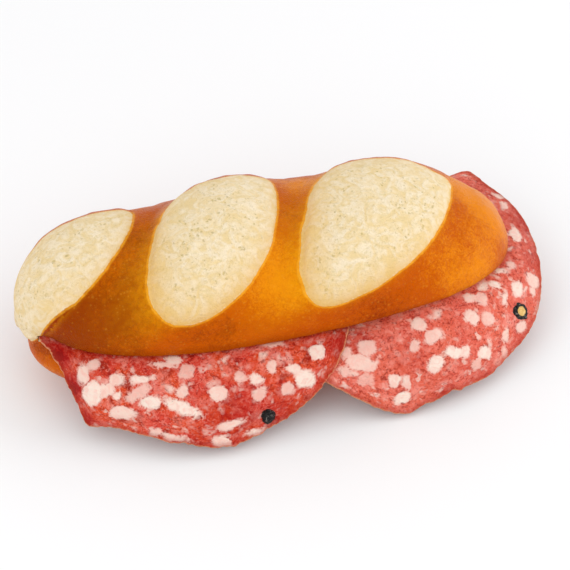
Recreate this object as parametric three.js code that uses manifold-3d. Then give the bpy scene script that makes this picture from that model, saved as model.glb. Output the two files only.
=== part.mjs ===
// Pretzel roll sandwich: a slashed pretzel roll, slit along its front, with two salami slices in it.
// Sizes are in millimetres and angles in degrees. +X is the right end, -Y the front, +Z up.
// The roll rests on Z = 0, with the middle of its underside at the origin.
import * as THREE from 'three';
import { mergeVertices } from 'three/addons/utils/BufferGeometryUtils.js';
import Module from 'manifold-3d';

const wasm = await Module();
wasm.setup();

// Roll, measured from its widest line.
const halfLength = 82.5;
const halfWidth = 34;
const topRise = 26;
const baseDepth = 26.2;
const restHeight = 25;
const endPower = 2.54;
const topPower = 2.21;
const basePower = 2.9;
const baseSwell = 0.1;
const girthRadius = 30;
const rollSteps = { long: 32, round: 18 };

// Slashes across the top, where the pale crumb has burst through the crust.
// Each is a leaf laid on the unrolled skin: along the roll, round it from the top, and its turn.
// It widens by a share towards its back end and bows by a share of its width. Its lift grows by
// a share along it and another across it.
const slashes = [
  {
    along: -72.5, round: 5.1, turn: 30.6, halfLong: 30.9, halfWide: 16.8,
    widening: 0.09, bow: 0.04, lift: 0.98, liftAlong: -0.02, liftAcross: 0.08,
  },
  {
    along: -20.4, round: -1.5, turn: 54.6, halfLong: 34.7, halfWide: 18.3,
    widening: -0.03, bow: 0.1, lift: 1.05, liftAlong: -0.08, liftAcross: 0.02,
  },
  {
    along: 34.3, round: -1.4, turn: 48.7, halfLong: 41.8, halfWide: 20.7,
    widening: 0.19, bow: 0.1, lift: 0.89, liftAlong: -0.23, liftAcross: 0.12,
  },
];
const leafLongPower = 1.73;
const leafWidePower = 1.99;
const crumbRise = 7.9;
const swellReach = 0.59;
const leftEdgePower = 0.5;
const rightEdgePower = 0.72;
const liftSpread = 2.5;

// Salami slices, laid flat in the slit and hanging over the front of the base.
const sliceThickness = 1.3;
const sliceLevel = 23.9;
const sliceStep = 2;
const sliceGap = 0.45;
const bendStart = -2;
const bendRadius = 16;
const frontSlope = 52;
const backSlope = 4;
const waveHeight = 0.5;
const sliceRings = [0, 0.24, 0.38, 0.48, 0.57, 0.66, 0.75, 0.84, 0.93, 1];
const sliceSides = 54;

// The outline of each slice: directions from its middle and how far it reaches there.
const leftSlice = {
  name: 'salami_left',
  middle: [-31, -12],
  under: 0,
  reach: [
    [-174, 50.3], [-162, 50.4], [-151, 53.5], [-144, 56.6], [-138, 53.6], [-130, 51],
    [-120, 49.8], [-110, 50], [-100, 50.6], [-92, 52], [-83, 51.8], [-66, 51.6],
    [-48, 52.2], [-32, 52.6], [-15, 52], [5, 49], [30, 45], [55, 41],
    [90, 36.5], [115, 39], [138, 41], [160, 46], [176, 52.7],
  ],
  peppercorn: { at: [-15.2, -56.7], radius: 2.5, rise: 1.2 },
};
const rightSlice = {
  name: 'salami_right',
  middle: [41, -9],
  under: 1,
  reach: [
    [-170, 47], [-152, 50], [-132, 53.3], [-123, 53.5], [-113, 54.6], [-101, 56.6],
    [-97, 56], [-92, 53.8], [-84, 51.6], [-74, 51.1], [-61, 52.3], [-50, 52],
    [-34, 53.6], [-16, 52.9], [-3, 52.6], [9, 54.3], [21, 56.2], [37, 57.5],
    [44, 59.6], [49, 60.7], [56, 50], [68, 38], [90, 34], [115, 36], [140, 40], [165, 44],
  ],
  peppercorn: { at: [80.7, -32.8], radius: 3.2, rise: 0.9 },
};

// The slit stops short of the left end and the back, which hold the roll together.
const hinge = [
  [-85.6, -16], [-84.9, -8.5], [-80, -0.5], [-74, 7], [-60, 21.5], [-44, 28], [0, 29.5], [48, 29.5],
  [62, 32], [69, 46],
];
const slitRight = 104;
const slitFront = -70;
const slabLeft = -100;
const slabHeight = 60;
const slabDroop = 12;
const leftFlare = 1.1;
const rightFlare = 2.2;

const salamiColor = 0xd9705c;
const crustColor = 0xc06a10;

function toRadians(degrees) {
  return THREE.MathUtils.degToRad(degrees);
}

function smoothStep(low, high, value) {
  return THREE.MathUtils.smoothstep(value, low, high);
}

function powerNorm(a, b, power) {
  return Math.pow(Math.pow(Math.abs(a), power) + Math.pow(Math.abs(b), power), 1 / power);
}

// How deep a spot lies inside the nearest slash: 1 at its middle, 0 at its edge, negative on crust.
// The crumb rises from a tight crease on the left of a slash and more gently on its right.
// The lift passes smoothly from one slash to the next.
function nearestSlash(along, round) {
  const nearest = { depth: -9, edgePower: leftEdgePower, lift: 1 };
  let lifts = 0;
  let weights = 0;
  for (const slash of slashes) {
    const turn = toRadians(slash.turn);
    const dx = along - slash.along;
    const ds = round - slash.round;
    const u = (dx * Math.cos(turn) + ds * Math.sin(turn)) / slash.halfLong;
    const nearU = THREE.MathUtils.clamp(u, -1.2, 1.2);
    const width = slash.halfWide * (1 + slash.widening * nearU);
    const v = (-dx * Math.sin(turn) + ds * Math.cos(turn)) / width - slash.bow * (nearU ** 2 - 0.3);
    const nearV = THREE.MathUtils.clamp(v, -1.2, 1.2);
    const depth = 1 - Math.pow(Math.abs(u), leafLongPower) - Math.pow(Math.abs(v), leafWidePower);
    const weight = Math.exp(liftSpread * Math.max(depth, -3));
    lifts += weight * slash.lift * (1 + slash.liftAlong * nearU + slash.liftAcross * nearV);
    weights += weight;
    if (depth > nearest.depth) {
      nearest.depth = depth;
      nearest.edgePower = THREE.MathUtils.lerp(leftEdgePower, rightEdgePower, smoothStep(-0.4, 0.4, -v));
    }
  }
  nearest.lift = lifts / weights;
  return nearest;
}

// The point of the loaf in a given direction, on a unit loaf before it gets its size.
function unitLoaf(direction) {
  const power = direction.z > 0 ? topPower : basePower;
  const size = powerNorm(powerNorm(direction.y, direction.z, power), direction.x, endPower);
  return direction.clone().divideScalar(size);
}

function slashAt(direction) {
  const unit = unitLoaf(direction);
  const belt = Math.pow(Math.max(1 - Math.pow(Math.abs(unit.x), endPower), 0), 1 / endPower);
  return nearestSlash(halfLength * unit.x, girthRadius * belt * Math.atan2(unit.y, unit.z));
}

function loafPoint(direction) {
  const unit = unitLoaf(direction);
  const { depth, edgePower, lift } = slashAt(direction);
  const inside = Math.pow(THREE.MathUtils.clamp(depth, 0, 1), edgePower);
  const around = THREE.MathUtils.clamp(depth + swellReach, 0, 1 + swellReach) / (1 + swellReach);
  const rise = 0.5 * crumbRise * lift * (inside + around);
  const below = THREE.MathUtils.clamp(-unit.z, 0, 1);
  const towardFront = 1 - smoothStep(-0.3, 0.9, unit.y);
  const swell = 1 + baseSwell * towardFront * Math.sin(Math.PI * below) ** 1.3;
  const height = unit.z > 0 ? topRise : baseDepth;
  const outward = new THREE.Vector3(unit.x * girthRadius / halfLength, unit.y, unit.z).normalize();
  const point = new THREE.Vector3(halfLength * swell * unit.x, halfWidth * swell * unit.y, height * unit.z);
  point.addScaledVector(outward, rise);
  point.z = Math.max(point.z + restHeight, 0);
  return point;
}

// Moves a direction that lies close to the edge of a slash onto that edge.
function snapToSlash(direction, nearby) {
  const step = 0.004;
  const here = slashAt(direction).depth;
  const slope = new THREE.Vector3();
  for (const axis of ['x', 'y', 'z']) {
    const moved = direction.clone();
    moved[axis] += step;
    slope[axis] = (slashAt(moved.normalize()).depth - here) / step;
  }
  slope.addScaledVector(direction, -slope.dot(direction));
  const distance = Math.abs(here) / Math.max(slope.length(), 1e-6);
  if (distance < nearby) {
    direction.addScaledVector(slope, -here / slope.lengthSq()).normalize();
  }
}

// Joins equal vertices and drops the triangles that this closes up.
function weld(geometry) {
  geometry.deleteAttribute('normal');
  geometry.deleteAttribute('uv');
  const merged = mergeVertices(geometry, 1e-4);
  const kept = [];
  const corners = merged.index.array;
  for (let i = 0; i < corners.length; i += 3) {
    const [a, b, c] = corners.slice(i, i + 3);
    if (a !== b && b !== c && c !== a) {
      kept.push(a, b, c);
    }
  }
  merged.setIndex(kept);
  return merged;
}

function toSolid(geometry) {
  const merged = weld(geometry);
  const mesh = new wasm.Mesh({
    numProp: 3,
    vertProperties: merged.attributes.position.array,
    triVerts: new Uint32Array(merged.index.array),
  });
  return new wasm.Manifold(mesh);
}

function toNode(name, solid, color, roughness) {
  const mesh = solid.getMesh();
  const geometry = new THREE.BufferGeometry();
  geometry.setAttribute('position', new THREE.BufferAttribute(mesh.vertProperties, 3));
  geometry.setIndex(new THREE.BufferAttribute(mesh.triVerts, 1));
  geometry.computeVertexNormals();
  const node = new THREE.Mesh(
    geometry,
    new THREE.MeshStandardMaterial({ color, roughness, metalness: 0 }),
  );
  node.name = name;
  return node;
}

function moveVertices(geometry, place) {
  const positions = geometry.attributes.position;
  const point = new THREE.Vector3();
  for (let i = 0; i < positions.count; i += 1) {
    const moved = place(point.fromBufferAttribute(positions, i));
    positions.setXYZ(i, moved.x, moved.y, moved.z);
  }
  return geometry;
}

function makeLoaf() {
  const block = new THREE.BoxGeometry(
    2, 2, 2, rollSteps.long, rollSteps.round, rollSteps.round,
  );
  return toSolid(moveVertices(block, (corner) => {
    const spread = corner.clone().multiplyScalar(Math.PI / 4);
    const direction = new THREE.Vector3(
      Math.tan(spread.x), Math.tan(spread.y), Math.tan(spread.z),
    ).normalize();
    snapToSlash(direction, 0.03);
    return loafPoint(direction);
  }));
}

// Distance of a spot outside the edge of the cut face, and the way out from that edge.
function beyondCut(x, y) {
  const nearest = new THREE.Vector2(x, y);
  const slope = new THREE.Vector2();
  for (let i = 0; i < 6; i += 1) {
    const size = Math.max(powerNorm(nearest.x / halfLength, nearest.y / halfWidth, endPower), 1e-6);
    slope.set(
      Math.sign(nearest.x) * Math.pow(Math.abs(nearest.x) / halfLength / size, endPower - 1) / halfLength,
      Math.sign(nearest.y) * Math.pow(Math.abs(nearest.y) / halfWidth / size, endPower - 1) / halfWidth,
    );
    nearest.addScaledVector(slope, -(size - 1) / Math.max(slope.lengthSq(), 1e-9));
  }
  const outside = powerNorm(x / halfLength, y / halfWidth, endPower) > 1 ? 1 : -1;
  return { distance: outside * nearest.distanceTo(new THREE.Vector2(x, y)), way: slope.normalize() };
}

// How a slice hangs once it has passed the edge by a length: how far out, how far down, how steep.
function hang(length, way) {
  const steepest = toRadians(THREE.MathUtils.lerp(backSlope, frontSlope, smoothStep(-0.7, 0.9, -way.y)));
  const bent = THREE.MathUtils.clamp((length - bendStart) / bendRadius, 0, steepest);
  const straight = Math.max(length - bendStart - bendRadius * steepest, 0);
  return {
    out: Math.min(length, bendStart) + bendRadius * Math.sin(bent) + straight * Math.cos(bent),
    down: bendRadius * (1 - Math.cos(bent)) + straight * Math.sin(bent),
    slope: bent,
  };
}

function wave(x, y) {
  return waveHeight * (Math.sin(x / 7.5 + 0.6) + 0.5 * Math.sin(x / 3.9 - y / 8));
}

// Where the right slice is tucked under the left one.
function tuck(x) {
  return 1 - smoothStep(22, 46, x);
}

// Lays a spot of a flat slice over the cut face, raised from its middle surface by an offset.
function drape(x, y, offset) {
  const { distance, way } = beyondCut(x, y);
  const { out, down, slope } = hang(distance, way);
  const raised = offset + wave(x, y) * smoothStep(2, 26, distance);
  return new THREE.Vector3(
    x + way.x * (out - distance + raised * Math.sin(slope)),
    y + way.y * (out - distance + raised * Math.sin(slope)),
    sliceLevel - down + raised * Math.cos(slope),
  );
}

function sliceOutline(slice) {
  const points = slice.reach.map(([degrees, reach]) => new THREE.Vector3(
    slice.middle[0] + reach * Math.cos(toRadians(degrees)),
    slice.middle[1] + reach * Math.sin(toRadians(degrees)),
    0,
  ));
  return new THREE.CatmullRomCurve3(points, true).getSpacedPoints(sliceSides);
}

function raggedness(side) {
  return 1 + 0.006 * Math.sin(side * 2.1) + 0.005 * Math.sin(side * 1.3 + 2);
}

function makePeppercorn(slice) {
  const { at, radius, rise } = slice.peppercorn;
  const ball = new THREE.IcosahedronGeometry(radius, 1);
  return toSolid(moveVertices(ball, (point) => drape(
    at[0] + point.x,
    at[1] + point.y,
    sliceOffset(slice, at[0]) + (point.z / radius) * (sliceThickness / 2 + rise) * (point.z > 0 ? 1 : 0.4),
  )));
}

function sliceOffset(slice, x) {
  return -slice.under * sliceStep * tuck(x);
}

function makeSlice(slice) {
  const bottom = sliceRings.map((ring) => new THREE.Vector2(ring, -1));
  const top = sliceRings.map((ring) => new THREE.Vector2(ring, 1)).reverse();
  const disc = new THREE.LatheGeometry([...bottom, ...top], sliceSides);
  const outline = sliceOutline(slice);
  const sheet = toSolid(moveVertices(disc, (point) => {
    const ring = Math.hypot(point.x, point.z);
    const turn = Math.atan2(point.x, point.z) / (2 * Math.PI);
    const side = Math.round((turn + 1) * sliceSides) % sliceSides;
    const reach = ring * raggedness(side);
    const x = slice.middle[0] + reach * (outline[side].x - slice.middle[0]);
    const y = slice.middle[1] + reach * (outline[side].y - slice.middle[1]);
    return drape(x, y, sliceOffset(slice, x) + point.y * sliceThickness / 2);
  }));
  return sheet.add(makePeppercorn(slice));
}

// The room that the slices take in the roll, open at the front and the right end.
function makeSlit() {
  const block = new THREE.BoxGeometry(1, 1, 1, 44, 24, 1);
  const slab = toSolid(moveVertices(block, (corner) => {
    const x = THREE.MathUtils.lerp(slabLeft, slitRight, corner.x + 0.5);
    const y = THREE.MathUtils.lerp(slitFront, hinge.at(-1)[1], corner.y + 0.5);
    const { distance, way } = beyondCut(x, y);
    const { down } = hang(Math.min(distance, slabDroop), way);
    const under = smoothStep(-27, -14, x) * tuck(x) * sliceStep;
    const clear = sliceThickness / 2 + sliceGap;
    const floor = sliceLevel - down - clear - under;
    const flare = THREE.MathUtils.lerp(leftFlare, rightFlare, smoothStep(-20, 45, x));
    const roof = sliceLevel - down + clear + flare * smoothStep(-6, 1, distance);
    return new THREE.Vector3(x, y, corner.z > 0 ? roof : floor);
  }));
  const plan = new THREE.Shape();
  plan.moveTo(hinge[0][0], slitFront);
  plan.lineTo(slitRight, slitFront);
  plan.lineTo(slitRight, hinge.at(-1)[1]);
  plan.lineTo(...hinge.at(-1));
  plan.splineThru(hinge.slice(0, -1).reverse().map(([x, y]) => new THREE.Vector2(x, y)));
  const prism = new THREE.ExtrudeGeometry(plan, {
    depth: slabHeight,
    bevelEnabled: false,
    curveSegments: 24,
  });
  return slab.intersect(toSolid(prism));
}

function makeSandwich() {
  const sandwich = new THREE.Group();
  sandwich.add(toNode('roll', makeLoaf().subtract(makeSlit()), crustColor, 0.45));
  for (const slice of [leftSlice, rightSlice]) {
    sandwich.add(toNode(slice.name, makeSlice(slice), salamiColor, 0.5));
  }
  return sandwich;
}

export default makeSandwich();
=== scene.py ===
import math

import bmesh
import bpy
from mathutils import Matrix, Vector, noise


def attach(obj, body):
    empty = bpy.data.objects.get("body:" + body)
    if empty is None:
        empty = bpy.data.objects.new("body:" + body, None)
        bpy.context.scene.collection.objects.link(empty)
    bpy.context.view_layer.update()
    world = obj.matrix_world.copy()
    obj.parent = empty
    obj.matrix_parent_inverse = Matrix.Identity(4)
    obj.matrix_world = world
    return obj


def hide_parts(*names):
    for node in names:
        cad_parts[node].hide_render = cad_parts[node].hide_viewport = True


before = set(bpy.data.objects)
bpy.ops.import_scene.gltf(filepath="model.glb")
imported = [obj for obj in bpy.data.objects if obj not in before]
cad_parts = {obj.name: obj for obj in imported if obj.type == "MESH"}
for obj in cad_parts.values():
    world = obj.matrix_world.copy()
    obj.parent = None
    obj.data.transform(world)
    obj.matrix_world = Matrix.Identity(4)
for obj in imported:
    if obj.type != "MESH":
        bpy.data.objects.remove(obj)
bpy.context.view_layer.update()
mm = 0.001  # shapes are worked out in millimetres and set down in metres


def smoothStep(low, high, value):
    t = min(max((value - low) / (high - low), 0.0), 1.0)
    return t * t * (3 - 2 * t)


def mix(a, b, t):
    return a + (b - a) * t


def powerNorm(a, b, power):
    return (abs(a) ** power + abs(b) ** power) ** (1 / power)


# Smooth noise between about -1 and 1, with lumps of a size in millimetres.
def lumps(x, y, z, size):
    return noise.noise(Vector((x / size, y / size, z / size)))


# Camera: looks down on the front from slightly left, through a long lens.
view = {
    "azimuth": -14.3, "elevation": 43.87, "distance": 0.7, "target": (0.0037, 0.0, 0.01767),
    "sensor": 36, "pixelsPerMm": 2.89, "frameWidth": 570,
}


def makeCamera():
    turn = math.radians(view["azimuth"])
    tilt = math.radians(view["elevation"])
    back = Vector((math.sin(turn) * math.cos(tilt), -math.cos(turn) * math.cos(tilt), math.sin(tilt)))
    data = bpy.data.cameras.new("camera")
    data.lens = view["pixelsPerMm"] * view["distance"] / mm / view["frameWidth"] * view["sensor"]
    data.sensor_width = view["sensor"]
    camera = bpy.data.objects.new("camera", data)
    camera.location = Vector(view["target"]) + back * view["distance"]
    camera.rotation_euler = back.to_track_quat("Z", "Y").to_euler()
    bpy.context.collection.objects.link(camera)
    bpy.context.scene.camera = camera


makeCamera()
print("camera made")


# A screen colour, 0 to 255, as the linear colour that a shader takes.
def color(red, green, blue):
    linear = [
        value / 255 / 12.92 if value < 10.3 else ((value / 255 + 0.055) / 1.055) ** 2.4
        for value in (red, green, blue)
    ]
    return (*linear, 1.0)


# Adds a node, sets its properties, and fills its inputs with values or links.
def put(tree, kind, inputs=None, **properties):
    node = tree.nodes.new("ShaderNode" + kind)
    for name, value in properties.items():
        setattr(node, name, value)
    for socket, value in (inputs or {}).items():
        if isinstance(value, bpy.types.NodeSocket):
            tree.links.new(value, node.inputs[socket])
        else:
            node.inputs[socket].default_value = value
    return node


def maths(tree, operation, a, b=0.0, c=0.0):
    return put(tree, "Math", {0: a, 1: b, 2: c}, operation=operation).outputs[0]


# Moves a value down or up by half a share, as another value goes from 0 to 1.
def sway(tree, value, other, share):
    return maths(tree, "MULTIPLY_ADD", other, share, maths(tree, "SUBTRACT", value, share / 2))


def ramp(tree, value, low, high, toLow=0.0, toHigh=1.0):
    inputs = {"Value": value, "From Min": low, "From Max": high, "To Min": toLow, "To Max": toHigh}
    return put(tree, "MapRange", inputs, interpolation_type="SMOOTHSTEP").outputs[0]


def blend(tree, factor, a, b):
    return put(tree, "Mix", {0: factor, 6: a, 7: b}, data_type="RGBA").outputs[2]


def attribute(tree, name):
    return put(tree, "Attribute", attribute_name=name).outputs["Fac"]


def useGroup(tree, group, inputs):
    return put(tree, "Group", inputs, node_tree=group).outputs


def startGroup(name, inputs, outputs):
    group = bpy.data.node_groups.new(name, "ShaderNodeTree")
    for label, kind, value in inputs:
        socket = group.interface.new_socket(name=label, in_out="INPUT", socket_type="NodeSocket" + kind)
        if kind == "Float":
            socket.default_value = value
    for label, kind in outputs:
        group.interface.new_socket(name=label, in_out="OUTPUT", socket_type="NodeSocket" + kind)
    return group, group.nodes.new("NodeGroupInput").outputs, group.nodes.new("NodeGroupOutput").inputs


# Cloudy patches of a size in millimetres, from 0 to 1, with soft or hard borders.
def makeMottle():
    group, given, result = startGroup(
        "mottle",
        [
            ("Vector", "Vector", None), ("Size", "Float", 5.0), ("Softness", "Float", 0.2),
            ("Swirl", "Float", 0.0),
        ],
        [("Value", "Float"), ("Raw", "Float")],
    )
    scale = maths(group, "DIVIDE", 1 / mm, given["Size"])
    cloud = put(group, "TexNoise", {
        "Vector": given["Vector"], "Scale": scale, "Detail": 3.0, "Roughness": 0.55,
        "Distortion": given["Swirl"],
    }).outputs[0]
    low = maths(group, "SUBTRACT", 0.5, given["Softness"])
    high = maths(group, "ADD", 0.5, given["Softness"])
    group.links.new(ramp(group, cloud, low, high), result["Value"])
    group.links.new(cloud, result["Raw"])
    return group


# Scattered round marks, each with its own size and tone, in a share of the cells.
def makeSpots():
    group, given, result = startGroup(
        "spots",
        [
            ("Vector", "Vector", None), ("Size", "Float", 2.0), ("Share", "Float", 0.5),
            ("Reach", "Float", 0.4), ("Softness", "Float", 0.1), ("Warp", "Float", 0.3),
        ],
        [("Mask", "Float"), ("Tone", "Float")],
    )
    scale = maths(group, "DIVIDE", 1 / mm, given["Size"])
    warp = put(group, "TexNoise", {"Vector": given["Vector"], "Scale": scale, "Detail": 2.0})
    half = (0.5, 0.5, 0.5)
    centred = put(group, "VectorMath", {0: warp.outputs[1], 1: half}, operation="SUBTRACT").outputs[0]
    cell = maths(group, "MULTIPLY", given["Size"], mm * 2)
    amount = maths(group, "MULTIPLY", given["Warp"], cell)
    pushed = put(group, "VectorMath", {0: centred, "Scale": amount}, operation="SCALE").outputs[0]
    vector = put(group, "VectorMath", {0: given["Vector"], 1: pushed}, operation="ADD").outputs[0]
    cells = put(group, "TexVoronoi", {"Vector": vector, "Scale": scale})
    chance = put(group, "SeparateColor", {0: cells.outputs["Color"]}).outputs
    kept = maths(group, "LESS_THAN", chance[0], given["Share"])
    reach = maths(group, "MULTIPLY", given["Reach"], maths(group, "MULTIPLY_ADD", chance[1], 0.6, 0.4))
    gap = maths(group, "SUBTRACT", reach, cells.outputs["Distance"])
    mask = ramp(group, gap, maths(group, "MULTIPLY", given["Softness"], -1.0), given["Softness"])
    group.links.new(maths(group, "MULTIPLY", mask, kept), result["Mask"])
    group.links.new(chance[2], result["Tone"])
    return group


mottle = makeMottle()
spots = makeSpots()


def startMaterial(name):
    material = bpy.data.materials.new(name)
    material.use_nodes = True
    tree = material.node_tree
    tree.nodes.clear()
    return material, tree


def finishMaterial(tree, settings, links):
    shader = put(tree, "BsdfPrincipled", {**settings, **links})
    output = tree.nodes.new("ShaderNodeOutputMaterial")
    tree.links.new(shader.outputs[0], output.inputs["Surface"])


# A cube of size 2 cut into a grid, with its own number of steps along each axis.
def gridBlock(steps):
    bm = bmesh.new()
    bmesh.ops.create_cube(bm, size=2)
    for axis, count in enumerate(steps):
        if count > 1:
            lengthwise = [
                edge for edge in bm.edges
                if abs(edge.verts[0].co[axis] - edge.verts[1].co[axis]) > 1.5
            ]
            bmesh.ops.subdivide_edges(bm, edges=lengthwise, cuts=count - 1, use_grid_fill=True)
    return bm


# Stores values worked out for each vertex on the face corners, where they last through a cut.
def paint(bm, values):
    for name in values[bm.verts[0].index]:
        layer = bm.loops.layers.float.new(name)
        for face in bm.faces:
            for loop in face.loops:
                loop[layer] = values[loop.vert.index][name]


def toObject(bm, name, material):
    mesh = bpy.data.meshes.new(name)
    bmesh.ops.recalc_face_normals(bm, faces=bm.faces)
    for face in bm.faces:
        face.smooth = True
    bm.to_mesh(mesh)
    bm.free()
    mesh.materials.append(material)
    made = bpy.data.objects.new(name, mesh)
    bpy.context.collection.objects.link(made)
    return made


# Bread: glossy crust, pale crumb where it burst open, told apart by the distance from a slash's edge.
crustLook = {
    "deep": (140, 40, 0), "mid": (194, 82, 0), "bright": (232, 134, 12), "gold": (238, 160, 10),
    "lip": (246, 172, 48), "speckleGlint": (246, 176, 60), "cutEdgeShade": (112, 36, 0),
    "roughness": 0.34, "specular": 0.2, "gloss": (1.0, 0.5, 0.04, 1.0), "coat": 0.02, "coatRoughness": 0.25,
    "cloudSize": 14.0, "cloudShare": 0.2, "blotSize": 4.5, "blotShare": 0.11, "fineSize": 2.4,
    "peelSize": 1.0, "peelShare": 0.2, "peelHeight": 0.55, "lipFrom": -1.0, "lipTo": -0.4,
    "speckleSize": 1.1, "speckleShare": 0.18, "speckleHeight": 0.03,
}
crumbLook = {
    "pale": (243, 227, 198), "warm": (234, 209, 158), "creaseShade": (218, 202, 154), "poreShade": (188, 170, 112),
    "edge": (228, 182, 98), "roughness": 0.85, "fraySize": 1.4, "frayWidth": 0.5, "swirlSize": 5.0,
    "wrinkleSize": 2.2, "clusterSize": 9.0, "smallPore": 1.3, "largePore": 2.6, "poreShare": 0.65,
    "edgeShare": 0.9, "wrinkleHeight": 0.5, "poreHeight": -0.2, "swirlHeight": 0.6,
}


def makeBread():
    material, tree = startMaterial("bread")
    place = put(tree, "TexCoord").outputs["Object"]
    edge = attribute(tree, "edge")
    gold = attribute(tree, "gold")
    fray = useGroup(tree, mottle, {"Vector": place, "Size": crumbLook["fraySize"]})["Raw"]
    border = sway(tree, edge, fray, crumbLook["frayWidth"])
    isCrumb = ramp(tree, border, -0.12, 0.12)
    # Crust
    clouds = useGroup(tree, mottle, {"Vector": place, "Size": crustLook["cloudSize"], "Softness": 0.3})
    blots = useGroup(tree, mottle, {"Vector": place, "Size": crustLook["blotSize"], "Swirl": 1.0})
    peel = useGroup(tree, mottle, {"Vector": place, "Size": crustLook["peelSize"], "Swirl": 1.2})
    # The tone carries the crust's own bake together with painted highlights from the patches.
    tone = sway(tree, attribute(tree, "bakeAndLight"), clouds["Value"], crustLook["cloudShare"])
    tone = sway(tree, tone, blots["Value"], crustLook["blotShare"])
    tone = sway(tree, tone, peel["Value"], crustLook["peelShare"])
    crust = blend(tree, ramp(tree, tone, 0.0, 0.5), color(*crustLook["deep"]), color(*crustLook["mid"]))
    crust = blend(tree, ramp(tree, tone, 0.5, 1.0), crust, color(*crustLook["bright"]))
    fine = useGroup(tree, mottle, {
        "Vector": place, "Size": crustLook["fineSize"], "Softness": 0.25,
    })["Value"]
    goldShare = maths(tree, "MULTIPLY", gold, ramp(tree, fine, 0.0, 1.0, 0.75, 1.15))
    crust = blend(tree, goldShare, crust, color(*crustLook["gold"]))
    # Painted glints: small bright dots on the crust where light catches its fine blisters; only their
    # slight bump is relief.
    speckles = useGroup(tree, spots, {
        "Vector": place, "Size": crustLook["speckleSize"], "Share": 0.3, "Reach": 0.34, "Softness": 0.25,
    })["Mask"]
    speckled = maths(tree, "MULTIPLY", speckles, crustLook["speckleShare"])
    crust = blend(tree, speckled, crust, color(*crustLook["speckleGlint"]))
    # Painted shade: a dark band along the crust's lower front edge, where it curves under towards the slit
    # and the slices.
    crust = blend(tree, attribute(tree, "cutEdgeShade"), crust, color(*crustLook["cutEdgeShade"]))
    lip = ramp(tree, border, crustLook["lipFrom"], crustLook["lipTo"])
    lip = maths(tree, "MULTIPLY", lip, ramp(tree, fine, 0.0, 1.0, 0.4, 0.75))
    crust = blend(tree, lip, crust, color(*crustLook["lip"]))
    # Crumb
    swirls = useGroup(tree, mottle, {
        "Vector": place, "Size": crumbLook["swirlSize"], "Softness": 0.18, "Swirl": 1.6,
    })
    inner = ramp(tree, border, 1.5, 6.0)
    crumb = blend(tree, swirls["Value"], color(*crumbLook["warm"]), color(*crumbLook["pale"]))
    # Painted shade: the crumb is greyer in the valleys of its wrinkles.
    wrinkles = useGroup(tree, mottle, {"Vector": place, "Size": crumbLook["wrinkleSize"], "Swirl": 2.5})
    creases = ramp(tree, wrinkles["Raw"], 0.46, 0.34, 0.0, 0.5)
    crumb = blend(tree, maths(tree, "MULTIPLY", creases, inner), crumb, color(*crumbLook["creaseShade"]))
    clusters = useGroup(tree, mottle, {
        "Vector": place, "Size": crumbLook["clusterSize"], "Softness": 0.1,
    })["Value"]
    smallPores = useGroup(tree, spots, {
        "Vector": place, "Size": crumbLook["smallPore"], "Share": 0.45, "Reach": 0.34, "Softness": 0.14,
        "Warp": 0.7,
    })["Mask"]
    largePores = useGroup(tree, spots, {
        "Vector": place, "Size": crumbLook["largePore"], "Share": 0.45, "Reach": 0.22, "Softness": 0.09,
        "Warp": 0.6,
    })["Mask"]
    # Painted shade: the pores, dimpled into the bump, are painted darker as shade in the hollows.
    pores = maths(tree, "MULTIPLY", maths(tree, "MAXIMUM", smallPores, largePores), inner)
    pores = maths(tree, "MULTIPLY", pores, ramp(tree, clusters, 0.0, 1.0, 0.25, 1.0))
    poreShare = maths(tree, "MULTIPLY", pores, crumbLook["poreShare"])
    crumb = blend(tree, poreShare, crumb, color(*crumbLook["poreShade"]))
    edgeShare = maths(tree, "MULTIPLY", gold, crumbLook["edgeShare"])
    crumb = blend(tree, edgeShare, crumb, color(*crumbLook["edge"]))
    # Relief
    crumbHeight = maths(tree, "MULTIPLY", pores, crumbLook["poreHeight"])
    crumbHeight = maths(tree, "MULTIPLY_ADD", wrinkles["Raw"], crumbLook["wrinkleHeight"], crumbHeight)
    crumbHeight = maths(tree, "MULTIPLY_ADD", swirls["Raw"], crumbLook["swirlHeight"], crumbHeight)
    crustHeight = maths(tree, "MULTIPLY", speckles, crustLook["speckleHeight"])
    crustHeight = maths(tree, "MULTIPLY_ADD", peel["Raw"], crustLook["peelHeight"], crustHeight)
    crumbShare = maths(tree, "MULTIPLY", isCrumb, ramp(tree, border, 0.0, 3.0, 0.25, 1.0))
    height = maths(tree, "MULTIPLY_ADD", crumbHeight, crumbShare, crustHeight)
    bump = put(tree, "Bump", {"Strength": 0.8, "Distance": mm, "Height": height}).outputs[0]
    roughness = maths(tree, "MULTIPLY_ADD", fine, 0.08, crustLook["roughness"] - 0.04)
    rougher = crumbLook["roughness"] - crustLook["roughness"]
    roughness = maths(tree, "MULTIPLY_ADD", isCrumb, rougher, roughness)
    finishMaterial(tree, {
        "Specular IOR Level": crustLook["specular"], "Specular Tint": crustLook["gloss"],
        "Coat Roughness": crustLook["coatRoughness"], "Coat IOR": 1.4,
    }, {
        "Base Color": blend(tree, isCrumb, crust, crumb), "Roughness": roughness, "Normal": bump,
        "Coat Weight": maths(tree, "MULTIPLY_ADD", isCrumb, -crustLook["coat"], crustLook["coat"]),
    })
    return material


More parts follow.
